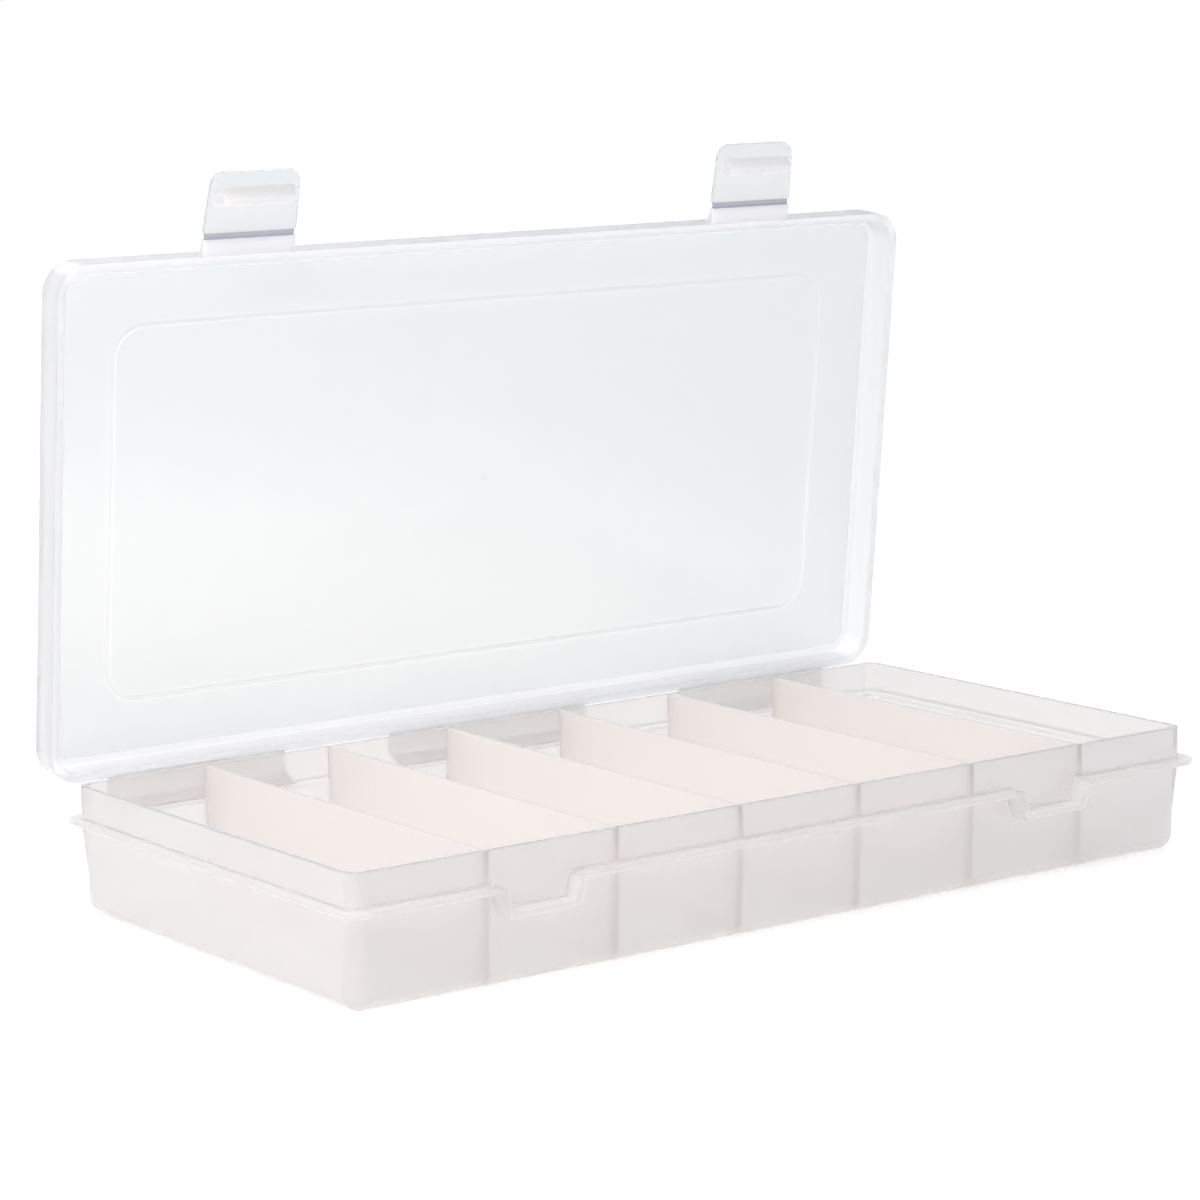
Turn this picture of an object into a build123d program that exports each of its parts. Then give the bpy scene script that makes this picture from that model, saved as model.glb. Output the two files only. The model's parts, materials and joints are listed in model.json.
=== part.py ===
from build123d import *
from math import atan, cos, degrees, radians, sin
import os

# Shallow storage box with seven compartments, a hinged lid and two snap latches,
# moulded in one shot from natural polypropylene, so its hinges are thin webs.
# Millimetres. X runs along the box, Y to the back, Z up, and the origin is the
# centre of the tray's underside. The lid is drawn closed, then swung to its rest.

# Tray: straight neck above the flange, drafted body with a rounded bottom below
TRAY_LENGTH = 280.0
TRAY_DEPTH = 135.6
TRAY_HEIGHT = 35.8
NECK_HEIGHT = 8.9
TRAY_CORNER = 3.5
WALL = 1.5
FLOOR = 1.5
BODY_INSET = 0.8
BOTTOM_ROUND = 4.8
CORNER_EASE = 0.1

# Dividers
COMPARTMENTS = 7
DIVIDER = 1.5

# Flange that runs round the tray and carries the hinge and the latch keepers
FLANGE_REACH = 3.2
FLANGE_FRONT_REACH = 4.4
FLANGE_THICKNESS = 1.5

# Latch keepers: the flange dips into a trapezoid whose floor is the catch
LATCH_END_INSET = 57.9
NOTCH_TOP = 23.4
NOTCH_BOTTOM = 19.0
NOTCH_DROP = 6.2
KEEPER_WALL = 1.8
KEEPER_REACH = 5.6

# Lid
LID_WALL = 2.4
LID_PANEL = 1.25
LID_HEIGHT = 9.7
LID_CORNER = 9.0
LID_EDGE_ROUND = 1.2
LID_END_GAP = 1.6
LID_FRONT_GAP = 0.75
LID_SEAT_GAP = 0.3
BEAD_WIDTH = 0.9
BEAD_HEIGHT = 0.4
BEAD_END_INSET = 21.3
BEAD_FRONT_INSET = 18.5
BEAD_CORNER = 10.0
GATE_RADIUS = 1.5

# Back hinge: three straps, each folding on one line behind the tray
SIDE_STRAP = 56.0
CENTRE_STRAP = 69.0
STRAP_END_INSET = 18.1
STRAP_REACH = 5.4
FOLD_RISE = 1.4
STRAP_THICKNESS = 0.9
FOLD_WEB = 0.3
FOLD_BEVEL = 1.2
STRAP_ROOT_RISE = 0.3
LID_OPEN = 83.8

# Latches: root block on the lid, thin web, flap and hook
LATCH_WIDTH = 29.0
LATCH_TIP_WIDTH = 27.6
FLAP_THICKNESS = 1.3
FLAP_LENGTH = 18.0
FLAP_CORNER = 4.0
BLOCK_REACH = 4.6
BLOCK_GUSSET = 5.0
WEB_HALF = 0.8
WEB_THICKNESS = 0.35
WEB_RISE = 0.3
HOOK_WIDTH = 24.0
HOOK_REACH = 3.3
HOOK_HEIGHT = 4.2
HOOK_RAMP = 2.2
HOOK_END_BEVEL = 1.0
HOOK_GAP = 0.3
SNAP_TILT = 4.0
FLAP_REST_LEAN = {"left": 10.0, "right": 3.0}

# Levels and outlines that follow from the sizes above
FLANGE_TOP = TRAY_HEIGHT - NECK_HEIGHT
PITCH = TRAY_LENGTH / COMPARTMENTS
FLANGE_FRONT = -(TRAY_DEPTH / 2 + FLANGE_FRONT_REACH)
FLANGE_BACK = TRAY_DEPTH / 2 + FLANGE_REACH
KEEPER_FRONT = -(TRAY_DEPTH / 2 + KEEPER_REACH)
KEEPER_UNDERSIDE = FLANGE_TOP - NOTCH_DROP - KEEPER_WALL
LID_LENGTH = TRAY_LENGTH + 2 * (LID_END_GAP + LID_WALL)
LID_DEPTH = TRAY_DEPTH + 2 * (LID_FRONT_GAP + LID_WALL)
RIM = TRAY_HEIGHT + LID_SEAT_GAP + LID_PANEL - LID_HEIGHT
LID_TOP = RIM + LID_HEIGHT
LATCH_OFFSET = LID_LENGTH / 2 - LATCH_END_INSET
STRAP_OFFSET = LID_LENGTH / 2 - STRAP_END_INSET - SIDE_STRAP / 2

# Hinge axes, drawn with the lid closed
FOLD = Axis((0, LID_DEPTH / 2 + STRAP_REACH, RIM + FOLD_RISE), (1, 0, 0))
FLAP_AXIS = Axis((0, -(LID_DEPTH / 2 + BLOCK_REACH + WEB_HALF), RIM + WEB_RISE), (1, 0, 0))

# Where the hook has to start on the flap to clear the keeper when it is snapped shut
HOOK_TIP = WEB_RISE + HOOK_REACH
HOOK_START = (
    FLAP_AXIS.position.Z - KEEPER_UNDERSIDE + HOOK_GAP + HOOK_TIP * sin(radians(SNAP_TILT))
) / cos(radians(SNAP_TILT))

SIDES = {"left": -1, "right": 1}
STRAPS = {
    "left": (-STRAP_OFFSET, SIDE_STRAP),
    "centre": (0.0, CENTRE_STRAP),
    "right": (STRAP_OFFSET, SIDE_STRAP),
}


def slab(length, depth, corner, bottom, height):
    """Upright plate with rounded corners, centred on Z."""
    outline = RectangleRounded(length, depth, corner)
    return Pos(0, 0, bottom) * extrude(outline, height)


def drafted_tub(bottom, top, wall):
    """Solid that widens upwards from its rounded bottom, a wall's thickness inside the body.

    Its corners are a little rounder than its bottom edge, so that the rounding runs through them.
    """
    inset = BODY_INSET + wall
    rounding = BOTTOM_ROUND - wall
    outline = RectangleRounded(
        TRAY_LENGTH - 2 * inset, TRAY_DEPTH - 2 * inset, rounding + CORNER_EASE
    )
    draft = degrees(atan(BODY_INSET / (top - bottom)))
    tub = Pos(0, 0, bottom) * extrude(outline, top - bottom, taper=-draft)
    return fillet(tub.faces().sort_by(Axis.Z)[0].edges(), rounding)


def cavity():
    """Inside of the tray, from its floor to its open top."""
    return drafted_tub(FLOOR, TRAY_HEIGHT, WALL)


def flange():
    """Plate round the tray, deeper in front, with the latch notches cut through it."""
    reach_middle = (FLANGE_BACK + FLANGE_FRONT) / 2
    plate = slab(
        TRAY_LENGTH + 2 * FLANGE_REACH,
        FLANGE_BACK - FLANGE_FRONT,
        TRAY_CORNER + FLANGE_REACH,
        FLANGE_TOP - FLANGE_THICKNESS,
        FLANGE_THICKNESS,
    )
    plate = Pos(0, reach_middle, 0) * plate
    for side in SIDES.values():
        plate -= Pos(side * LATCH_OFFSET, 0, 0) * keeper_envelope()
    return plate


def trapezoid(top_width, bottom_width, top, bottom):
    """Upright trapezoid in the XZ plane, wider at its top."""
    return make_face(
        Polyline(
            (-top_width / 2, top),
            (-bottom_width / 2, bottom),
            (bottom_width / 2, bottom),
            (top_width / 2, top),
            close=True,
        )
    )


def front_prism(face):
    """Carries a face of the XZ plane from the tray's axis out to the keeper's front."""
    return extrude(Plane.XZ * face, -KEEPER_FRONT)


def keeper_envelope():
    """Everything inside the outer faces of a keeper, from the middle of the tray outwards."""
    outer = trapezoid(
        NOTCH_TOP + 2 * KEEPER_WALL,
        NOTCH_BOTTOM + 2 * KEEPER_WALL,
        FLANGE_TOP,
        KEEPER_UNDERSIDE,
    )
    return front_prism(outer)


def tray_outside():
    """Tray filled solid: drafted body below the flange, straight neck above it."""
    body = drafted_tub(0, FLANGE_TOP, 0)
    return body + slab(TRAY_LENGTH, TRAY_DEPTH, TRAY_CORNER, FLANGE_TOP, NECK_HEIGHT)


def tray_shell():
    """Open tub with its neck and flange."""
    return tray_outside() + flange() - cavity()


def keeper(side):
    """Two slanted cheeks and the floor between them, open at the front and the top."""
    notch = trapezoid(NOTCH_TOP, NOTCH_BOTTOM, FLANGE_TOP, FLANGE_TOP - NOTCH_DROP)
    ribbon = keeper_envelope() - front_prism(notch)
    ribbon = Pos(SIDES[side] * LATCH_OFFSET, 0, 0) * ribbon
    return ribbon - tray_outside()


def divider(number):
    """Wall across the tray that follows the floor, the draft and the rounded bottom."""
    place = (number - COMPARTMENTS / 2) * PITCH
    wall = Pos(place, 0, TRAY_HEIGHT / 2) * Box(DIVIDER, TRAY_DEPTH, TRAY_HEIGHT)
    return wall & cavity()


def lid_shell():
    """Shallow cap, closed, with a stacking bead on its panel and the mark of the gate."""
    cap = slab(LID_LENGTH, LID_DEPTH, LID_CORNER, RIM, LID_HEIGHT)
    cap = fillet(cap.faces().sort_by(Axis.Z)[-1].edges(), LID_EDGE_ROUND)
    hollow = slab(
        LID_LENGTH - 2 * LID_WALL,
        LID_DEPTH - 2 * LID_WALL,
        LID_CORNER - LID_WALL,
        RIM,
        LID_HEIGHT - LID_PANEL,
    )
    gate = Pos(0, 0, LID_TOP) * extrude(Circle(GATE_RADIUS), BEAD_HEIGHT)
    return cap - hollow + bead() + gate


def bead():
    """Fine raised line in a rounded rectangle on top of the panel."""
    length = LID_LENGTH - 2 * BEAD_END_INSET
    depth = LID_DEPTH - 2 * BEAD_FRONT_INSET
    outer = slab(length, depth, BEAD_CORNER, LID_TOP, BEAD_HEIGHT)
    inner = slab(
        length - 2 * BEAD_WIDTH,
        depth - 2 * BEAD_WIDTH,
        BEAD_CORNER - BEAD_WIDTH,
        LID_TOP,
        BEAD_HEIGHT,
    )
    return outer - inner


def strap_leaf(root, outward, name):
    """One leaf of a strap, from its root to the fold line, thinned to a web at the fold.

    The leaf lies on the line from root to fold, on the side that outward points to,
    and its root is cut upright, flush with the face that carries it.
    """
    fold = Vector(0, FOLD.position.Y, FOLD.position.Z)
    root = Vector(0, *root)
    outward = Vector(0, *outward).normalized()
    along = (fold - root).normalized()
    upright_cut = along * (outward.Y / along.Y)
    points = [
        root,
        fold,
        fold + outward * FOLD_WEB,
        fold - along * FOLD_BEVEL + outward * STRAP_THICKNESS,
        root + (outward - upright_cut) * STRAP_THICKNESS,
    ]
    place, width = STRAPS[name]
    profile = make_face(Polyline(*points, close=True))
    return Pos(place - width / 2, 0, 0) * extrude(profile, width, dir=(1, 0, 0))


def tray_leaf(name):
    """Leaf from the flange's back edge to the fold."""
    return strap_leaf((FLANGE_BACK, FLANGE_TOP), (0, -1), name)


def lid_leaf(name):
    """Leaf from the back of the lid's rim to the fold, square to its own line."""
    root = (LID_DEPTH / 2, RIM + STRAP_ROOT_RISE)
    run = FOLD.position.Y - root[0]
    rise = FOLD.position.Z - root[1]
    return strap_leaf(root, (-rise, run), name)


def latch_profile(points, place, width):
    """Prism across a latch from points given as distance out from the lid and height over its rim."""
    corners = [(0, -LID_DEPTH / 2 - out, RIM + up) for out, up in points]
    face = make_face(Polyline(*corners, close=True))
    return Pos(place - width / 2, 0, 0) * extrude(face, width, dir=(1, 0, 0))


def rectangle(near, far, low, high):
    """Corners of a rectangular latch profile."""
    return [(near, low), (far, low), (far, high), (near, high)]


def half_web(near, place):
    """One half of the thin web that the flap folds on, starting a distance out from the lid."""
    corners = rectangle(near, near + WEB_HALF, WEB_RISE, WEB_RISE + WEB_THICKNESS)
    return latch_profile(corners, place, LATCH_WIDTH)


def latch_root(side):
    """Block on the lid's front, hollowed to a gusset behind, with its half of the web."""
    place = SIDES[side] * LATCH_OFFSET
    block = latch_profile(rectangle(0, BLOCK_REACH, 0, BLOCK_GUSSET), place, LATCH_WIDTH)
    scoop = Pos(place, -LID_DEPTH / 2 - BLOCK_REACH, RIM + BLOCK_GUSSET) * Rot(0, 90, 0)
    scoop *= extrude(Ellipse(BLOCK_GUSSET - FLAP_THICKNESS, BLOCK_REACH), LATCH_WIDTH / 2, both=True)
    return block - scoop + half_web(BLOCK_REACH, place)


def flap_outline():
    """Flap seen from above, narrowing to its tip, whose corners are rounded."""
    start = FLAP_AXIS.position.Y - WEB_HALF
    end = FLAP_AXIS.position.Y - FLAP_LENGTH
    outline = Polyline(
        (-LATCH_WIDTH / 2, start),
        (-LATCH_TIP_WIDTH / 2, end),
        (LATCH_TIP_WIDTH / 2, end),
        (LATCH_WIDTH / 2, start),
        close=True,
    )
    face = make_face(outline)
    return fillet(face.vertices().group_by(Axis.Y)[0], FLAP_CORNER)


def latch_flap(side):
    """Flap, straight out from its root, with its half of the web."""
    place = SIDES[side] * LATCH_OFFSET
    plate = Pos(place, 0, RIM) * extrude(flap_outline(), FLAP_THICKNESS)
    return plate + half_web(BLOCK_REACH + WEB_HALF, place)


def latch_hook(side):
    """Bar under the flap: square face to the keeper, ramp towards the tip, bevelled ends."""
    start = BLOCK_REACH + WEB_HALF + HOOK_START
    end = start + HOOK_HEIGHT
    bar = latch_profile(
        [(start, 0), (start, -HOOK_REACH), (end - HOOK_RAMP, -HOOK_REACH), (end, 0)],
        SIDES[side] * LATCH_OFFSET,
        HOOK_WIDTH,
    )
    ends = bar.faces().filter_by(Axis.X)
    corners = [end.edges().sort_by(Axis.Z)[0] for end in ends]
    return chamfer(corners, HOOK_END_BEVEL)


def with_flap(solid, side):
    """Bends a flap's piece from straight to the lean that it has at rest."""
    return solid.rotate(FLAP_AXIS, FLAP_REST_LEAN[side])


def with_lid(solid):
    """Swings a piece of the closed lid up to its rest."""
    return solid.rotate(FOLD, -LID_OPEN)


def build():
    """Every node by name, at rest."""
    nodes = {"tray_shell": tray_shell()}
    for number in range(1, COMPARTMENTS):
        nodes[f"divider_{number}"] = divider(number)
    for name in STRAPS:
        nodes[f"hinge_tray_leaf_{name}"] = tray_leaf(name)
        nodes[f"hinge_lid_leaf_{name}"] = with_lid(lid_leaf(name))
    nodes["lid_shell"] = with_lid(lid_shell())
    for side in SIDES:
        nodes[f"latch_keeper_{side}"] = keeper(side)
        nodes[f"latch_root_{side}"] = with_lid(latch_root(side))
        nodes[f"latch_flap_{side}"] = with_lid(with_flap(latch_flap(side), side))
        nodes[f"latch_hook_{side}"] = with_lid(with_flap(latch_hook(side), side))
    return nodes


os.makedirs("parts", exist_ok=True)
for node, shape in build().items():
    export_step(shape, f"parts/{node}.step")
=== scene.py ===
"""Looks of a seven-compartment storage box, moulded in one shot from natural polypropylene.

Sizes are millimetres until a mesh is made, in the frame of the part: X along the box,
Y to the back, Z up, origin at the centre of the tray's underside. The lid and its
latches are drawn shut and straight, and then turned to where the frame's joints rest.
"""

import json

import bpy
import numpy as np
from mathutils import Matrix, Vector


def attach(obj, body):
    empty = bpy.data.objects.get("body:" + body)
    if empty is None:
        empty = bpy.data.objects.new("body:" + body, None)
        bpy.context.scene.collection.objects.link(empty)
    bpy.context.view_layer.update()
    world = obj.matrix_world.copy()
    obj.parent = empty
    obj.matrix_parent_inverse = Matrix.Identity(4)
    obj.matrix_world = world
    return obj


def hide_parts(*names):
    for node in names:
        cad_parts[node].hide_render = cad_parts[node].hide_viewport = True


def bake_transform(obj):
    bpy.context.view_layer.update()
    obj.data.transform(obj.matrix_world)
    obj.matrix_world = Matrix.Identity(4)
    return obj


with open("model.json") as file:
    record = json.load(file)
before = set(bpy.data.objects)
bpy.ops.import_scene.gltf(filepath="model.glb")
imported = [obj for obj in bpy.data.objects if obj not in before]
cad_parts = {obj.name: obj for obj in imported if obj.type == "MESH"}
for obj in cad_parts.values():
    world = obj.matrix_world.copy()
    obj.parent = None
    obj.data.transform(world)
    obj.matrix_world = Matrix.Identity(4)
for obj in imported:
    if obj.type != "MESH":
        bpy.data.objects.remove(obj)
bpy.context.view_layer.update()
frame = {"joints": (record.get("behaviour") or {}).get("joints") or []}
joints = {joint["name"]: joint for joint in frame["joints"]}
MM = 0.001

# Tray
TRAY_HALF_X = 140.0
TRAY_HALF_Y = 67.8
TRAY_HEIGHT = 35.8
NECK_HEIGHT = 8.9
TRAY_CORNER = 3.5
WALL = 1.5
FLOOR = 1.5
BODY_INSET = 0.8
BOTTOM_ROUND = 4.8
CORNER_EASE = 0.1
COMPARTMENTS = 7
DIVIDER = 1.5

# Flange and the notches that the latches snap into
FLANGE_REACH = 3.2
FLANGE_FRONT_REACH = 4.4
FLANGE_THICKNESS = 1.5
NOTCH_TOP = 23.4
NOTCH_BOTTOM = 19.0
NOTCH_DROP = 6.2
KEEPER_WALL = 1.8
KEEPER_REACH = 5.6

# Lid
LID_END_GAP = 1.6
LID_FRONT_GAP = 0.75
LID_WALL = 2.4
LID_PANEL = 1.25
LID_HEIGHT = 9.7
LID_CORNER = 9.0
LID_EDGE_ROUND = 1.2
LID_SEAT_GAP = 0.3
BEAD_WIDTH = 0.9
BEAD_HEIGHT = 0.4
BEAD_END_INSET = 21.3
BEAD_FRONT_INSET = 18.5
BEAD_CORNER = 10.0
SINK_WIDTH = 1.6
SINK_DEPTH = 0.14
GATE_RADIUS = 1.5
PIP_RADIUS = 0.6
PIP_HEIGHT = 0.25

# Back hinge
SIDE_STRAP = 56.0
CENTRE_STRAP = 69.0
STRAP_OFFSET = 97.9
STRAP_THICKNESS = 0.9
STRAP_ROOT_RISE = 0.3
STRAP_BITE = 0.5
FOLD_WEB = 0.3
FOLD_TAPER = 1.4

# Latches
LATCH_WIDTH = 29.0
LATCH_TIP_WIDTH = 27.6
FLAP_THICKNESS = 1.3
FLAP_LENGTH = 18.0
FLAP_CORNER = 4.0
FLAP_ROOT_CORNER = 0.8
BLOCK_REACH = 4.6
BLOCK_GUSSET = 5.0
WEB_HALF = 0.8
WEB_THICKNESS = 0.35
WEB_RISE = 0.3
WEB_SIDE_INSET = 0.5
WEB_LAP = 0.05
HOOK_WIDTH = 24.0
HOOK_REACH = 3.3
HOOK_HEIGHT = 4.2
HOOK_RAMP = 2.2
HOOK_END_BEVEL = 1.0
HOOK_GAP = 0.3
SNAP_TILT = 4.0

# Small roundings that a mould leaves on every edge, and the share of the flange that one takes
EDGE = 0.3
FINE_EDGE = 0.15
INNER_CORNER = 1.0
FLANGE_FILLET = 0.06

# Hair's breadth between pieces that touch, and the skin of the tub over its dividers
SEAM = 0.02
SKIN = 0.08

# Levels and outlines that follow
LID_HALF_X = TRAY_HALF_X + LID_END_GAP + LID_WALL
LID_HALF_Y = TRAY_HALF_Y + LID_FRONT_GAP + LID_WALL
FLANGE_TOP = TRAY_HEIGHT - NECK_HEIGHT
RIM = TRAY_HEIGHT + LID_SEAT_GAP + LID_PANEL - LID_HEIGHT
LID_TOP = RIM + LID_HEIGHT
KEEPER_UNDERSIDE = FLANGE_TOP - NOTCH_DROP - KEEPER_WALL

# Joints, from the frame
FOLD = np.array(joints["lid_hinge"]["pos_m"]) / MM
LID_OPEN = joints["lid_hinge"]["range_deg"][1]
LATCH_OFFSET = joints["latch_hinge_right"]["pos_m"][0] / MM
SIDES = {"left": -1, "right": 1}
FLAP_LEAN = {side: -joints[f"latch_hinge_{side}"]["range_deg"][0] for side in SIDES}
FLAP_AXIS = np.array([0, -(LID_HALF_Y + BLOCK_REACH + WEB_HALF), RIM + WEB_RISE])
SNAP = np.radians(SNAP_TILT)
HOOK_DROP = FLAP_AXIS[2] - KEEPER_UNDERSIDE + HOOK_GAP
HOOK_START = (HOOK_DROP + (WEB_RISE + HOOK_REACH) * np.sin(SNAP)) / np.cos(SNAP)

# Finish of the plastic: its index, its polish, and the slow ripple that the melt's flow leaves
PLASTIC_IOR = 1.49
SKIN_ROUGHNESS = 0.08
SHADOW_PASS = 0.86
RIPPLE_SPACING = 9.0
RIPPLE_DEPTH = 0.05
RIPPLE_STRENGTH = 0.12

# Room and lamps: metres and watts
PAPER_REACH = 40.0
PAPER_TONE = "#D5D5D5"
PAPER_LIFT = 0.5
BRIGHT_SIDE = (-0.4, 0.5, 0.77)
BRIGHT_FROM = -0.7
BRIGHT_TO = 0.7
BRIGHT_TONE = "#F6F9FF"
DIM_TONE = "#6F726D"
ROOM_STRENGTH = 1.0
LAMP_PLACE = (-0.5, -0.2, 0.5)
LAMP_AIM = (-0.05, 0, 0.02)
LAMP_SIZE = 0.35
LAMP_WATTS = 1.5
LAMP_TONE = "#FFEEE8"
POOL_PLACE = (0.15, 1.3, 1.0)
POOL_AIM = (0.20, 0.60, 0.0)
POOL_WATTS = 58.0
POOL_ANGLE = 30.0
POOL_SOURCE = 0.05
POOL_TONE = "#FFF4E2"
EDGE_LAMP_PLACE = (-0.02, 0.30, 0.36)
EDGE_LAMP_AIM = (-0.02, 0.09, 0.19)
EDGE_LAMP_SIZE = (0.32, 0.08)
EDGE_LAMP_WATTS = 0.09

# Steps of the grids, and the distances of extra columns from a notch's bends that keep them crisp
ARC_STEPS = 10
FILLET_STEPS = 5
FINE_STEPS = 2
BOTTOM_STEPS = 7
WALL_STEPS = 3
SIDE_STEPS = 40
END_STEPS = 12
SINK_STEPS = 12
GATE_STEPS = 32
DOME_STEPS = 6
DOME_SHARE = 0.9
SCOOP_STEPS = 11
WEB_STEPS = 12
FLAP_CORNER_STEPS = 8
MARK_ROOM = 0.01
BEND_TIGHT, BEND_CLOSE, BEND_WIDE = 0.3, 0.4, 0.5

# Camera of the photograph: millimetres, degrees, and the lens axis in its 1200 pixels
CAMERA_PLACE = (-618.72, -822.92, 249.43)
CAMERA_AZIMUTH = -36.272
CAMERA_ELEVATION = 9.308
CAMERA_ROLL = -0.864
PHOTO_PIXELS = 1200
FOCAL_PIXELS = 3810.1
AXIS_PIXEL = (598.30, 594.40)
SENSOR = 36.0


def set_camera():
    """Camera on the photograph's place, lens and lens axis."""
    azimuth, elevation, roll = np.radians([CAMERA_AZIMUTH, CAMERA_ELEVATION, CAMERA_ROLL])
    back = Vector(
        (
            np.sin(azimuth) * np.cos(elevation),
            -np.cos(azimuth) * np.cos(elevation),
            np.sin(elevation),
        )
    )
    level = (-back).cross(Vector((0, 0, 1))).normalized()
    above = back.cross(level)
    right = np.cos(roll) * level + np.sin(roll) * above
    up = -np.sin(roll) * level + np.cos(roll) * above
    data = bpy.data.cameras.new("camera")
    data.sensor_width = SENSOR
    data.lens = FOCAL_PIXELS / PHOTO_PIXELS * SENSOR
    data.shift_x = (PHOTO_PIXELS / 2 - AXIS_PIXEL[0]) / PHOTO_PIXELS
    data.shift_y = (AXIS_PIXEL[1] - PHOTO_PIXELS / 2) / PHOTO_PIXELS
    camera = bpy.data.objects.new("camera", data)
    turn = Matrix((right, up, back)).transposed().to_4x4()
    camera.matrix_world = Matrix.Translation(Vector(CAMERA_PLACE) * MM) @ turn
    bpy.context.scene.collection.objects.link(camera)
    bpy.context.scene.camera = camera


def turned(points, place, degrees):
    """Points turned about an X axis through place: y and z mix by the cosine and sine of the angle."""
    cosine, sine = np.cos(np.radians(degrees)), np.sin(np.radians(degrees))
    y, z = points[..., 1] - place[1], points[..., 2] - place[2]
    return np.stack(
        [points[..., 0], place[1] + y * cosine - z * sine, place[2] + y * sine + z * cosine], axis=-1
    )


def lifted(points):
    """Points of the shut lid, swung to its rest."""
    return turned(points, FOLD, -LID_OPEN)


def leaned(points, side):
    """Points of a straight flap, bent to its lean and swung with the lid."""
    return lifted(turned(points, FLAP_AXIS, FLAP_LEAN[side]))


def grid_mesh(name, points):
    """Closed mesh from rows of points: quads between neighbours, and one face over each end row.

    Row r and column c become vertex r * columns + c, and each row closes on itself.
    """
    rows, columns = points.shape[:2]
    index = np.arange(rows * columns).reshape(rows, columns)
    after = np.roll(index, -1, axis=1)
    quads = np.stack([index[:-1], after[:-1], after[1:], index[1:]], axis=-1)
    faces = quads.reshape(-1, 4).tolist() + [index[0][::-1].tolist(), index[-1].tolist()]
    mesh = bpy.data.meshes.new(name)
    mesh.from_pydata((points.reshape(-1, 3) * MM).tolist(), [], faces)
    mesh.validate()
    mesh.polygons.foreach_set("use_smooth", [True] * len(mesh.polygons))
    piece = bpy.data.objects.new(name, mesh)
    bpy.context.scene.collection.objects.link(piece)
    weighted = piece.modifiers.new("flat faces stay flat", "WEIGHTED_NORMAL")
    weighted.weight = 100
    weighted.keep_sharp = True
    return piece


def fill_rows(piece, columns, *spans):
    """Second material for spans of a grid's rows, each from its first up to its last."""
    row = np.arange(len(piece.data.polygons)) // columns
    second = np.zeros(len(row), np.int32)
    for first, last in spans:
        second[(row >= first) & (row < last)] = 1
    piece.data.polygons.foreach_set("material_index", second)


def rounded_profile(corners, closed=False, steps=FILLET_STEPS):
    """Points along straight runs whose corners are arcs.

    corners holds (a, b, radius). Each corner with a radius becomes an arc tangent to its two
    runs: its ends lie radius * tan(turn / 2) from the corner, and it turns at a steady rate.
    """
    place = np.array([corner[:2] for corner in corners], float)
    made = []
    count = len(corners)
    for number, (_, _, radius) in enumerate(corners):
        here = place[number]
        if radius <= 0 or (not closed and number in (0, count - 1)):
            made.append(here[None])
            continue
        into = here - place[number - 1]
        away = place[(number + 1) % count] - here
        into, away = into / np.linalg.norm(into), away / np.linalg.norm(away)
        turn = np.arccos(np.clip(into @ away, -1, 1))
        reach = radius * np.tan(turn / 2)
        side = np.sign(into[0] * away[1] - into[1] * away[0])
        centre = here - into * reach + radius * side * np.array([-into[1], into[0]])
        first = here - into * reach - centre
        angle = side * turn * np.linspace(0, 1, steps + 1)
        made.append(
            centre
            + np.stack(
                [
                    first[0] * np.cos(angle) - first[1] * np.sin(angle),
                    first[0] * np.sin(angle) + first[1] * np.cos(angle),
                ],
                axis=-1,
            )
        )
    return np.concatenate(made)


def side_steps(marks, straight):
    """Places along a straight side from -1 to 1: even steps, with every mark among them."""
    even = np.linspace(-1, 1, SIDE_STEPS + 1)
    marks = np.array(sorted(marks)) / straight
    apart = np.min(np.abs(even[:, None] - marks[None]), axis=1) > MARK_ROOM
    return np.unique(np.concatenate([even[apart], marks]))


NOTCH_MARKS = [
    side * LATCH_OFFSET + sign * half
    for side in SIDES.values()
    for sign in (-1, 1)
    for half in (
        NOTCH_BOTTOM / 2 - BEND_WIDE,
        NOTCH_BOTTOM / 2,
        NOTCH_BOTTOM / 2 + BEND_TIGHT,
        NOTCH_TOP / 2 - BEND_TIGHT,
        NOTCH_TOP / 2,
        NOTCH_BOTTOM / 2 + KEEPER_WALL,
        NOTCH_TOP / 2 + BEND_CLOSE,
        NOTCH_TOP / 2 + KEEPER_WALL - BEND_CLOSE,
        NOTCH_TOP / 2 + KEEPER_WALL,
        NOTCH_TOP / 2 + KEEPER_WALL + BEND_WIDE,
    )
]
ALONG = side_steps(NOTCH_MARKS, TRAY_HALF_X - TRAY_CORNER)
ACROSS = np.linspace(-1, 1, END_STEPS + 1)
FRONT_COLUMNS = len(ALONG)


def outline(half_x, front, back, corner):
    """Rounded rectangle from x = -half_x to half_x and y = -front to back, counter-clockwise.

    It starts on the front side, at its left end. Straight sides follow ALONG and ACROSS, and
    corners are arcs of ARC_STEPS steps.
    """
    middle, half_y = (back - front) / 2, (back + front) / 2
    run_x, run_y = half_x - corner, half_y - corner
    arc = np.linspace(0, np.pi / 2, ARC_STEPS + 1)[1:-1]
    parts = []
    for quarter, steps in enumerate((ALONG, ACROSS, ALONG, ACROSS)):
        angle = quarter * np.pi / 2
        sides = (
            (steps * run_x, np.full(len(steps), -half_y)),
            (np.full(len(steps), half_x), steps * run_y),
            (-steps * run_x, np.full(len(steps), half_y)),
            (np.full(len(steps), -half_x), -steps * run_y),
        )
        parts.append(np.stack(sides[quarter], axis=-1))
        centres = ((run_x, -run_y), (run_x, run_y), (-run_x, run_y), (-run_x, -run_y))
        centre = np.array(centres[quarter])
        sweep = angle - np.pi / 2 + arc
        parts.append(centre + corner * np.stack([np.cos(sweep), np.sin(sweep)], axis=-1))
    points = np.concatenate(parts)
    points[:, 1] += middle
    return points


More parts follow.
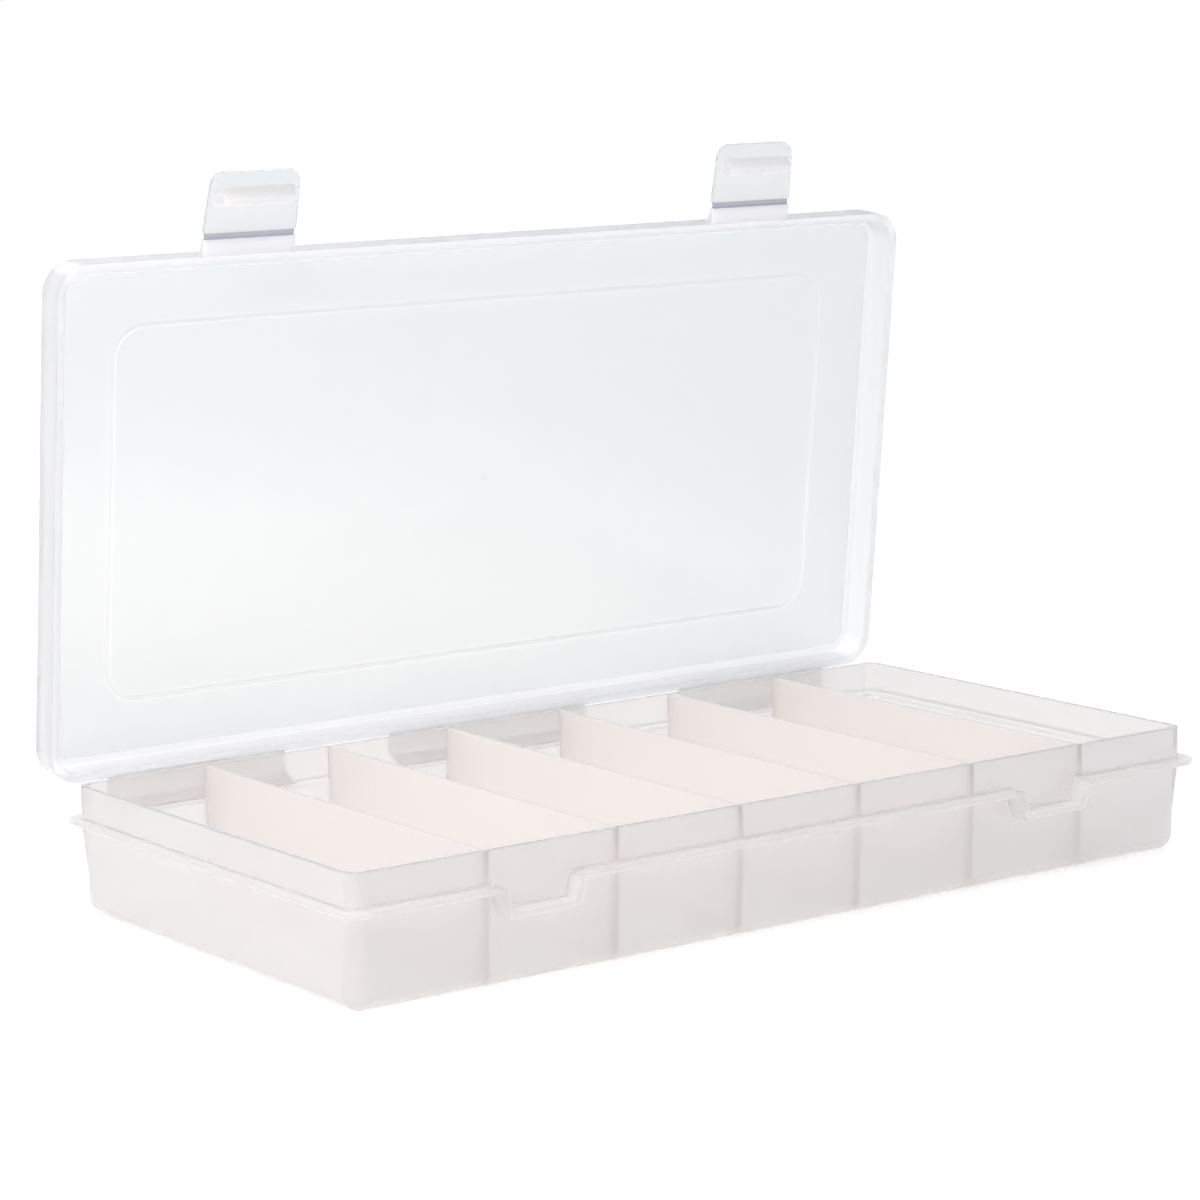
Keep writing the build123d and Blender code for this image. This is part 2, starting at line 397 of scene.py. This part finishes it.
def ring(half_x, front, back, corner, height):
    """An outline at one height, as a row of a grid."""
    flat = outline(half_x, front, back, corner)
    return np.column_stack([flat, np.full(len(flat), height)])


def inset_ring(inset, corner, height, half_x=TRAY_HALF_X, half_y=TRAY_HALF_Y):
    """A ring at an even distance inside a rectangle."""
    return ring(half_x - inset, half_y - inset, half_y - inset, corner, height)


def dip(x, top_half, bottom_half, drop):
    """How far the flange dips at x: all of drop within bottom_half of a latch, none past top_half."""
    beside = np.abs(np.abs(x) - LATCH_OFFSET)
    return drop * np.clip((top_half - beside) / (top_half - bottom_half), 0, 1)


def drafted_wall(bottom, top, wall):
    """Rings up a drafted wall: the bottom rounding as a quarter turn, and then the straight wall."""
    rounding = BOTTOM_ROUND - wall
    rows = []
    for angle in np.linspace(0, np.pi / 2, BOTTOM_STEPS + 1):
        inward = rounding * (1 - np.sin(angle))
        height = bottom + rounding * (1 - np.cos(angle))
        rows.append((inward, height))
    rows += [(0, height) for height in np.linspace(bottom + rounding, top, WALL_STEPS + 1)[1:]]
    made = []
    for inward, height in rows:
        draft = BODY_INSET * (1 - (height - bottom) / (top - bottom))
        corner = rounding + CORNER_EASE + BODY_INSET - draft - inward
        made.append((wall + draft + inward, corner, height))
    return made


def flange_ring(reach_share, level, under):
    """A ring of the flange: reach_share goes from the wall, 0, to its edge, 1.

    Over the notches it dips, its underside by the keeper's wall more, and reaches further.
    """
    side = FLANGE_REACH * reach_share
    front = FLANGE_FRONT_REACH * reach_share
    row = ring(
        TRAY_HALF_X + side, TRAY_HALF_Y + front, TRAY_HALF_Y + side, TRAY_CORNER + side, level
    )
    face = slice(0, FRONT_COLUMNS)
    x = row[face, 0]
    top_half, bottom_half, drop = NOTCH_TOP / 2, NOTCH_BOTTOM / 2, NOTCH_DROP
    if under:
        top_half, bottom_half = top_half + KEEPER_WALL, bottom_half + KEEPER_WALL
        drop += KEEPER_WALL - FLANGE_THICKNESS
    row[face, 2] -= dip(x, top_half, bottom_half, drop)
    further = KEEPER_REACH - FLANGE_FRONT_REACH
    around = dip(x, NOTCH_TOP / 2 + KEEPER_WALL, NOTCH_BOTTOM / 2 + KEEPER_WALL, 1)
    row[face, 1] -= further * around * reach_share
    return row


def tray():
    """Tub, neck and dipping flange as one skin.

    The rows are drawn from the floor up the inside, over the rim and down the neck, flange and
    outside to the underside, and are then turned about, so that the faces point outwards.
    """
    rows = [inset_ring(*step) for step in drafted_wall(FLOOR, TRAY_HEIGHT, WALL)][:-1]
    inner_corner = BOTTOM_ROUND - WALL + CORNER_EASE + BODY_INSET
    rim = rounded_profile(
        [
            (WALL, TRAY_HEIGHT - 2 * EDGE, 0),
            (WALL, TRAY_HEIGHT, EDGE),
            (0, TRAY_HEIGHT, EDGE),
            (0, TRAY_HEIGHT - 2 * EDGE, 0),
        ]
    )
    for inset, height in rim:
        share = inset / WALL
        rows.append(inset_ring(inset, inner_corner * share + TRAY_CORNER * (1 - share), height))
    top, under = FLANGE_TOP, FLANGE_TOP - FLANGE_THICKNESS
    flange_start = len(rows) + 1
    rows.append(flange_ring(0.0, top + 2 * EDGE, False))
    rows.append(flange_ring(0.0, top + EDGE, False))
    rows.append(flange_ring(FLANGE_FILLET, top, False))
    edge = EDGE / FLANGE_REACH
    for angle in np.linspace(0, np.pi / 2, FILLET_STEPS):
        rows.append(
            flange_ring(1 - edge * (1 - np.sin(angle)), top - EDGE * (1 - np.cos(angle)), False)
        )
    for angle in np.linspace(np.pi / 2, 0, FILLET_STEPS):
        rows.append(
            flange_ring(1 - edge * (1 - np.sin(angle)), under + EDGE * (1 - np.cos(angle)), True)
        )
    rows.append(flange_ring(FLANGE_FILLET, under, True))
    rows.append(flange_ring(0.0, under - EDGE, True))
    rows.append(flange_ring(0.0, under - 2 * EDGE, True))
    flange_end = len(rows) - 2
    body = drafted_wall(0, FLANGE_TOP, 0)
    rows += [inset_ring(*step) for step in body[::-1] if step[2] < KEEPER_UNDERSIDE - 2 * EDGE]
    piece = grid_mesh("tray", np.array(rows[::-1]))
    last = len(rows) - 1
    fill_rows(piece, len(rows[0]), (last - flange_end, last - flange_start))
    return piece


def lid():
    """Cap as one skin: inside of the panel, fillet, inner skirt, rim, outer skirt and beaded top.

    The skirt and the bead get its second material.
    """

    def lid_ring(inset, height):
        return inset_ring(inset, LID_CORNER - inset, height, LID_HALF_X, LID_HALF_Y)

    ceiling = LID_TOP - LID_PANEL
    profile = rounded_profile(
        [
            (LID_WALL + INNER_CORNER * 2, ceiling, 0),
            (LID_WALL, ceiling, INNER_CORNER),
            (LID_WALL, RIM, EDGE),
            (0, RIM, EDGE),
            (0, LID_TOP, LID_EDGE_ROUND),
            (LID_EDGE_ROUND * 2, LID_TOP, 0),
        ]
    )
    rows = [bead_ring(BEAD_WIDTH / 2 + across, ceiling + rise) for across, rise in sink_line()]
    rows += [lid_ring(inset, height) for inset, height in profile]
    bead = rounded_profile(
        [
            (-BEAD_WIDTH, 0, 0),
            (0, 0, FINE_EDGE),
            (0, BEAD_HEIGHT, FINE_EDGE),
            (BEAD_WIDTH, BEAD_HEIGHT, FINE_EDGE),
            (BEAD_WIDTH, 0, FINE_EDGE),
            (2 * BEAD_WIDTH, 0, 0),
        ],
        steps=FINE_STEPS,
    )
    rows += [bead_ring(inward, LID_TOP + rise) for inward, rise in bead]
    piece = grid_mesh("lid", lifted(np.array(rows)))
    bead_start = len(rows) - len(bead)
    skirt_start = bead_start - len(profile)
    fill_rows(piece, len(rows[0]), (skirt_start, bead_start - 1), (bead_start, len(rows) - 1))
    return piece


def bead_ring(inward, height):
    """A ring along the stacking bead, a distance inside its outer edge."""
    half_y = LID_HALF_Y - BEAD_FRONT_INSET - inward
    return ring(LID_HALF_X - BEAD_END_INSET - inward, half_y, half_y, BEAD_CORNER - inward, height)


def sink_line():
    """Section of the faint hollow that shrinkage leaves inside, opposite the bead.

    From its inner to its outer side, the depth is SINK_DEPTH * (1 + cos(pi * share)) / 2.
    """
    share = np.linspace(1, -1, SINK_STEPS + 1)
    return list(zip(share * SINK_WIDTH / 2, SINK_DEPTH * (1 + np.cos(np.pi * share)) / 2))


def gate_mark(name, radius, base, rise):
    """A dome where the plastic entered the mould.

    Its radius goes as the cosine and its rise as the sine of an angle, up to a small flat on top,
    and it is turned about the lid's centre line.
    """
    turn = np.linspace(0, 2 * np.pi, GATE_STEPS + 1)[:-1]
    up = np.linspace(0, np.pi / 2 * DOME_SHARE, DOME_STEPS + 1)[:, None]
    out = radius * np.cos(up)
    height = base + np.sign(rise) * SEAM + rise * np.sin(up) + 0 * turn
    rows = np.stack([out * np.cos(turn), out * np.sin(turn), height], axis=-1)
    return grid_mesh(f"gate_{name}", lifted(rows[::-1] if rise < 0 else rows))


def divider(number):
    """Wall across the tray, one with the tub: a plate whose outline lies just under the tub's skin."""
    place = (number - COMPARTMENTS / 2) * 2 * TRAY_HALF_X / COMPARTMENTS
    side = drafted_wall(0, FLANGE_TOP, 0)
    section = [(TRAY_HALF_Y - inset - SKIN, max(height, SKIN)) for inset, _, height in side]
    half = np.array(section + [(TRAY_HALF_Y - SKIN, TRAY_HEIGHT - SKIN)])
    closed = np.concatenate([half, half[::-1] * [-1, 1]])
    return plate(f"divider_{number}", closed, DIVIDER, place)


def plate(name, section, thickness, place, shape=None):
    """Plate across X from its outline in y and z: the outline is drawn in a little at both faces.

    Rows run from one face to the other, each the outline moved inwards along its own normals by
    EDGE * (1 - sin), while x goes on by EDGE * (1 - cos).
    """
    ahead = np.roll(section, -1, axis=0) - section
    behind = section - np.roll(section, 1, axis=0)
    ahead /= np.linalg.norm(ahead, axis=1)[:, None]
    behind /= np.linalg.norm(behind, axis=1)[:, None]
    tangent = ahead + behind
    tangent /= np.linalg.norm(tangent, axis=1)[:, None]
    outward = np.stack([tangent[:, 1], -tangent[:, 0]], axis=-1)
    following = np.roll(section, -1, axis=0)
    area = np.sum(section[:, 0] * following[:, 1] - section[:, 1] * following[:, 0])
    outward *= np.sign(area)
    edge = min(EDGE, thickness / 3)
    rows = []
    for side in (-1, 1):
        turns = np.linspace(0, np.pi / 2, FILLET_STEPS)
        for angle in turns if side < 0 else turns[::-1]:
            drawn = section - outward * edge * (1 - np.sin(angle))
            x = side * (thickness / 2 - edge * (1 - np.cos(angle)))
            rows.append(np.column_stack([np.full(len(drawn), place + x), drawn]))
    points = np.array(rows)
    if area < 0:
        points = points[:, ::-1]
    return grid_mesh(name, shape(points) if shape else points)


def shut_section(points):
    """An outline of (out from the lid's front, up from its rim), as y and z of the shut lid."""
    return np.array([(-LID_HALF_Y - out, RIM + up) for out, up in points])


def latch_root(side):
    """Block on the lid's rim: square in front and scooped out behind to a gusset."""
    across = np.linspace(0, np.pi / 2, SCOOP_STEPS + 1)
    scoop = [
        (
            SEAM + (BLOCK_REACH - SEAM) * (1 - np.sin(angle)),
            BLOCK_GUSSET - (BLOCK_GUSSET - FLAP_THICKNESS) * np.cos(angle),
        )
        for angle in across
    ]
    front = rounded_profile(
        [(SEAM, SEAM, 0), (BLOCK_REACH, SEAM, EDGE), (BLOCK_REACH, FLAP_THICKNESS, 0)]
    )
    points = [tuple(point) for point in front[:-1]] + scoop
    return plate(
        f"latch_root_{side}", shut_section(points), LATCH_WIDTH, SIDES[side] * LATCH_OFFSET, lifted
    )


def latch_hook(side):
    """Catch under the flap: square to the keeper, with a ramp to the tip and bevelled ends."""
    start = BLOCK_REACH + WEB_HALF + HOOK_START
    end = start + HOOK_HEIGHT
    section = rounded_profile(
        [
            (start, -SEAM, 0),
            (start, -HOOK_REACH, EDGE),
            (end - HOOK_RAMP, -HOOK_REACH, EDGE),
            (end, -SEAM, 0),
        ]
    )
    return plate(
        f"latch_hook_{side}",
        shut_section(section),
        HOOK_WIDTH,
        SIDES[side] * LATCH_OFFSET,
        lambda points: leaned(bevelled(points, SIDES[side] * LATCH_OFFSET), side),
    )


def bevelled(points, place):
    """The catch with its ends cut at 45 degrees towards its face: x draws in as it stands out."""
    out = RIM - points[..., 2] - (HOOK_REACH - HOOK_END_BEVEL)
    drawn = points.copy()
    drawn[..., 0] -= np.sign(points[..., 0] - place) * np.clip(out, 0, HOOK_END_BEVEL)
    return drawn


def latch_flap(side):
    """Finger flap: a plate in the lid's rim plane that narrows to a tip with round corners."""
    place = SIDES[side] * LATCH_OFFSET
    near = LID_HALF_Y + BLOCK_REACH + 2 * WEB_HALF
    far = LID_HALF_Y + BLOCK_REACH + WEB_HALF + FLAP_LENGTH
    wide, narrow = LATCH_WIDTH / 2, LATCH_TIP_WIDTH / 2
    face = rounded_profile(
        [
            (-wide, -near, FLAP_ROOT_CORNER),
            (-narrow, -far, FLAP_CORNER),
            (narrow, -far, FLAP_CORNER),
            (wide, -near, FLAP_ROOT_CORNER),
        ],
        closed=True,
        steps=FLAP_CORNER_STEPS,
    )
    rows = []
    centre = np.array([0, -(near + far) / 2])
    for angle in np.linspace(-np.pi / 2, np.pi / 2, 2 * FILLET_STEPS):
        drawn = EDGE * (1 - np.cos(angle))
        height = RIM + FLAP_THICKNESS / 2 + np.sin(angle) * EDGE
        height += np.sign(angle) * (FLAP_THICKNESS / 2 - EDGE)
        shrink = 1 - drawn / np.array([wide, FLAP_LENGTH / 2])
        flat = centre + (face - centre) * shrink
        rows.append(np.column_stack([flat[:, 0] + place, flat[:, 1], np.full(len(flat), height)]))
    return grid_mesh(f"latch_flap_{side}", leaned(np.array(rows), side))


def latch_web(side):
    """Thin web that the flap folds on, hollow on both faces like a shallow groove.

    It swells from its middle to both ends by the square of the distance. The share of the flap's
    lean that a point takes is 3 s^2 - 2 s^3, with s its way across the web.
    """
    place = SIDES[side] * LATCH_OFFSET
    out = np.linspace(0, 1, WEB_STEPS + 1)
    swell = (2 * out - 1) ** 2
    top = WEB_RISE + WEB_THICKNESS
    low = WEB_RISE - (WEB_RISE - SEAM) * swell
    high = top + (FLAP_THICKNESS - SEAM - top) * swell
    reach = BLOCK_REACH - WEB_LAP + out * 2 * (WEB_HALF + WEB_LAP)
    points = list(zip(reach, low)) + list(zip(reach[::-1], high[::-1]))

    def bent(grid):
        share = np.clip((-grid[..., 1] - LID_HALF_Y - BLOCK_REACH) / (2 * WEB_HALF), 0, 1)
        share = share * share * (3 - 2 * share)
        result = np.empty_like(grid)
        for value in np.unique(share):
            rows = share == value
            result[rows] = turned(grid[rows], FLAP_AXIS, FLAP_LEAN[side] * value)
        return lifted(result)

    width = LATCH_WIDTH - 2 * WEB_SIDE_INSET
    return plate(f"latch_web_{side}", shut_section(points), width, place, bent)


def strap(name, place, width):
    """Hinge strap: two leaves with a fold between them, thinned to a web at the fold."""
    fold = FOLD[1:]
    back = TRAY_HALF_Y + FLANGE_REACH
    root = turned(np.array([0, LID_HALF_Y, RIM + STRAP_ROOT_RISE]), FOLD, -LID_OPEN)[1:]
    tray_root = np.array([back - STRAP_BITE, FLANGE_TOP])
    along_lid = (root - fold) / np.linalg.norm(root - fold)
    along_tray = (tray_root - fold) / np.linalg.norm(tray_root - fold)
    outward = np.array([along_lid[1], -along_lid[0]])
    under = np.array([0, -1.0])
    between = (outward + under) / np.linalg.norm(outward + under)
    lid_root = root + along_lid * STRAP_BITE
    section = [
        tray_root,
        fold,
        lid_root,
        lid_root + outward * STRAP_THICKNESS,
        fold + along_lid * FOLD_TAPER + outward * STRAP_THICKNESS,
        fold + between * FOLD_WEB,
        fold + along_tray * FOLD_TAPER + under * STRAP_THICKNESS,
        tray_root + under * STRAP_THICKNESS,
    ]
    return plate(f"hinge_strap_{name}", np.array(section), width, place)


def linear(colour):
    """An sRGB hex value as linear light, with full alpha."""
    share = np.array([int(colour[i : i + 2], 16) for i in (1, 3, 5)]) / 255
    light = np.where(share <= 0.04045, share / 12.92, ((share + 0.055) / 1.055) ** 2.4)
    return (*light.tolist(), 1.0)


def add(tree, kind, settings=None, links=None):
    """Adds a node: settings are properties or input values by name, links feed its inputs."""
    node = tree.nodes.new(kind)
    for name, value in (settings or {}).items():
        if isinstance(name, int) or name in node.inputs:
            node.inputs[name].default_value = value
        else:
            setattr(node, name, value)
    for name, source in (links or {}).items():
        tree.links.new(source, node.inputs[name])
    return node


def natural_polypropylene(name, colour, clear, spread, haze):
    """Uncoloured polypropylene, moulded against polished steel.

    Its skin is glossy and its body hazy: the clear share of the light is bent through a wall and
    blurred, so what touches the wall shows through sharp and what lies further off melts away.
    The spread share is scattered in every direction, as its crystals do, and the rest comes back.
    """
    material = bpy.data.materials.new(name)
    material.use_nodes = True
    tree = material.node_tree
    tree.nodes.clear()
    place = add(tree, "ShaderNodeTexCoord").outputs["Object"]
    ripple = add(
        tree,
        "ShaderNodeTexNoise",
        {"Scale": 1 / (RIPPLE_SPACING * MM), "Detail": 2.0, "Roughness": 0.4},
        {"Vector": place},
    )
    bump = add(
        tree,
        "ShaderNodeBump",
        {"Strength": RIPPLE_STRENGTH, "Distance": RIPPLE_DEPTH * MM},
        {"Height": ripple.outputs["Fac"]},
    )
    skin = add(
        tree,
        "ShaderNodeBsdfPrincipled",
        {
            "Base Color": linear(colour),
            "Roughness": haze,
            "IOR": PLASTIC_IOR,
            "Transmission Weight": clear,
            "Coat Weight": 1.0,
            "Coat Roughness": SKIN_ROUGHNESS,
            "Coat IOR": PLASTIC_IOR,
        },
        {"Normal": bump.outputs["Normal"], "Coat Normal": bump.outputs["Normal"]},
    )
    through = add(tree, "ShaderNodeBsdfTranslucent", {"Color": linear(colour)})
    body = add(tree, "ShaderNodeMixShader", {0: spread}, {1: skin.outputs[0], 2: through.outputs[0]})
    shadow = add(tree, "ShaderNodeLightPath").outputs["Is Shadow Ray"]
    let_by = add(tree, "ShaderNodeMath", {"operation": "MULTIPLY", 1: SHADOW_PASS}, {0: shadow})
    straight = add(tree, "ShaderNodeBsdfTransparent", {"Color": linear("#FFFFFF")})
    whole = add(
        tree,
        "ShaderNodeMixShader",
        {},
        {0: let_by.outputs[0], 1: body.outputs[0], 2: straight.outputs[0]},
    )
    add(tree, "ShaderNodeOutputMaterial", {}, {"Surface": whole.outputs[0]})
    return material


def dress(piece, material, *nodes):
    """Gives a piece its material and slot, and hides the nodes that it stands for."""
    piece.data.materials.append(material)
    if nodes:
        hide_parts(*nodes)
    return piece


def floor():
    """White paper: by eye, in a gloss and through the plastic, it is as white as the room round it."""
    mesh = bpy.data.meshes.new("floor")
    corners = [(x * PAPER_REACH, y * PAPER_REACH, 0) for x, y in ((-1, -1), (1, -1), (1, 1), (-1, 1))]
    mesh.from_pydata(corners, [], [(0, 1, 2, 3)])
    piece = bpy.data.objects.new("floor", mesh)
    bpy.context.scene.collection.objects.link(piece)
    material = bpy.data.materials.new("matt white paper")
    material.use_nodes = True
    tree = material.node_tree
    tree.nodes.clear()
    paper = add(tree, "ShaderNodeBsdfDiffuse", {"Color": linear(PAPER_TONE)})
    path = add(tree, "ShaderNodeLightPath")
    seen = add(
        tree,
        "ShaderNodeMath",
        {"operation": "MAXIMUM"},
        {0: path.outputs["Is Camera Ray"], 1: path.outputs["Is Glossy Ray"]},
    )
    seen = add(
        tree,
        "ShaderNodeMath",
        {"operation": "MAXIMUM"},
        {0: seen.outputs[0], 1: path.outputs["Is Transmission Ray"]},
    )
    lift = add(tree, "ShaderNodeMath", {"operation": "MULTIPLY", 1: PAPER_LIFT}, {0: seen.outputs[0]})
    glow = add(tree, "ShaderNodeEmission", {"Color": linear("#FFFFFF")}, {"Strength": lift.outputs[0]})
    both = add(tree, "ShaderNodeAddShader", {}, {0: paper.outputs[0], 1: glow.outputs[0]})
    add(tree, "ShaderNodeOutputMaterial", {}, {"Surface": both.outputs[0]})
    piece.data.materials.append(material)


def lamp(name, kind, place, aim, watts, colour, settings):
    """Lamp at a place, turned to its aim, in metres."""
    data = bpy.data.lights.new(name, kind)
    for setting, value in settings.items():
        setattr(data, setting, value)
    data.energy = watts
    data.color = linear(colour)[:3]
    lamp_object = bpy.data.objects.new(name, data)
    lamp_object.location = place
    lamp_object.rotation_mode = "QUATERNION"
    lamp_object.rotation_quaternion = (Vector(aim) - Vector(place)).to_track_quat("-Z", "Y")
    bpy.context.scene.collection.objects.link(lamp_object)


def light():
    """White room that is dimmer to the front and right, and three soft lamps.

    One stands on the left, one over the lid's top edge, and one lights the paper behind the lid.
    """
    world = bpy.data.worlds.new("white room")
    world.use_nodes = True
    bpy.context.scene.world = world
    tree = world.node_tree
    tree.nodes.clear()
    way = add(tree, "ShaderNodeTexCoord").outputs["Generated"]
    facing = add(tree, "ShaderNodeVectorMath", {"operation": "DOT_PRODUCT", 1: BRIGHT_SIDE}, {0: way})
    share = add(
        tree,
        "ShaderNodeMapRange",
        {"From Min": BRIGHT_FROM, "From Max": BRIGHT_TO},
        {"Value": facing.outputs["Value"]},
    )
    shade = add(
        tree,
        "ShaderNodeMix",
        {"data_type": "RGBA", 6: linear(DIM_TONE), 7: linear(BRIGHT_TONE)},
        {0: share.outputs[0]},
    )
    room = add(tree, "ShaderNodeBackground", {"Strength": ROOM_STRENGTH}, {"Color": shade.outputs[2]})
    add(tree, "ShaderNodeOutputWorld", {}, {"Surface": room.outputs[0]})
    soft_square = {"shape": "SQUARE", "size": LAMP_SIZE}
    long, short = EDGE_LAMP_SIZE
    soft_bar = {"shape": "RECTANGLE", "size": long, "size_y": short}
    soft_cone = {
        "spot_size": np.radians(POOL_ANGLE),
        "spot_blend": 1.0,
        "shadow_soft_size": POOL_SOURCE,
    }
    lamp("left_window", "AREA", LAMP_PLACE, LAMP_AIM, LAMP_WATTS, LAMP_TONE, soft_square)
    lamp("edge_light", "AREA", EDGE_LAMP_PLACE, EDGE_LAMP_AIM, EDGE_LAMP_WATTS, LAMP_TONE, soft_bar)
    lamp("pool_behind_lid", "SPOT", POOL_PLACE, POOL_AIM, POOL_WATTS, POOL_TONE, soft_cone)


set_camera()
walls = natural_polypropylene("natural polypropylene walls", "#F7F6F5", 0.75, 0.12, 0.17)
panel = natural_polypropylene("natural polypropylene lid", "#F6F8F8", 0.75, 0.2, 0.26)
hazy = natural_polypropylene("natural polypropylene dividers", "#FDFBF9", 0.1, 0.5, 0.3)
# The fold webs get a blue-grey colour, darker than the plastic round them. This is painted shade that
# stands in for the dark reflection seen in the groove of each latch's fold.
fold = natural_polypropylene("natural polypropylene folds with painted groove shade", "#CDD1D9", 0.7, 0.25, 0.15)
thick = natural_polypropylene("natural polypropylene flange", "#FFFEFD", 0.75, 0.4, 0.3)
clear = natural_polypropylene("natural polypropylene skirt and bead", "#FFFFFF", 1.0, 0.15, 0.35)
milky = natural_polypropylene("natural polypropylene blocks and hooks", "#FFFFFF", 0.5, 0.95, 0.3)

tub = dress(tray(), walls, "tray_shell", "latch_keeper_left", "latch_keeper_right")
tub.data.materials.append(thick)
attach(tub, "tray")
for number in range(1, COMPARTMENTS):
    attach(dress(divider(number), hazy, f"divider_{number}"), "tray")
cap = dress(lid(), panel, "lid_shell")
cap.data.materials.append(clear)
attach(cap, "lid")
for mark in (
    gate_mark("button", GATE_RADIUS, LID_TOP, BEAD_HEIGHT),
    gate_mark("pip", PIP_RADIUS, LID_TOP - LID_PANEL, -PIP_HEIGHT),
):
    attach(dress(mark, milky), "lid")
for side in SIDES:
    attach(dress(latch_root(side), milky, f"latch_root_{side}"), "lid")
    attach(dress(latch_flap(side), panel, f"latch_flap_{side}"), f"latch_{side}")
    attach(dress(latch_hook(side), milky, f"latch_hook_{side}"), f"latch_{side}")
    # The web takes the fold material, whose darker blue-grey colour is painted shade for the groove.
    web = dress(latch_web(side), fold)
    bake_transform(web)
for name, place, width in (
    ("left", -STRAP_OFFSET, SIDE_STRAP),
    ("centre", 0.0, CENTRE_STRAP),
    ("right", STRAP_OFFSET, SIDE_STRAP),
):
    piece = dress(strap(name, place, width), walls, f"hinge_tray_leaf_{name}", f"hinge_lid_leaf_{name}")
    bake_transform(piece)

floor()
light()
bpy.context.scene.view_settings.view_transform = "Standard"
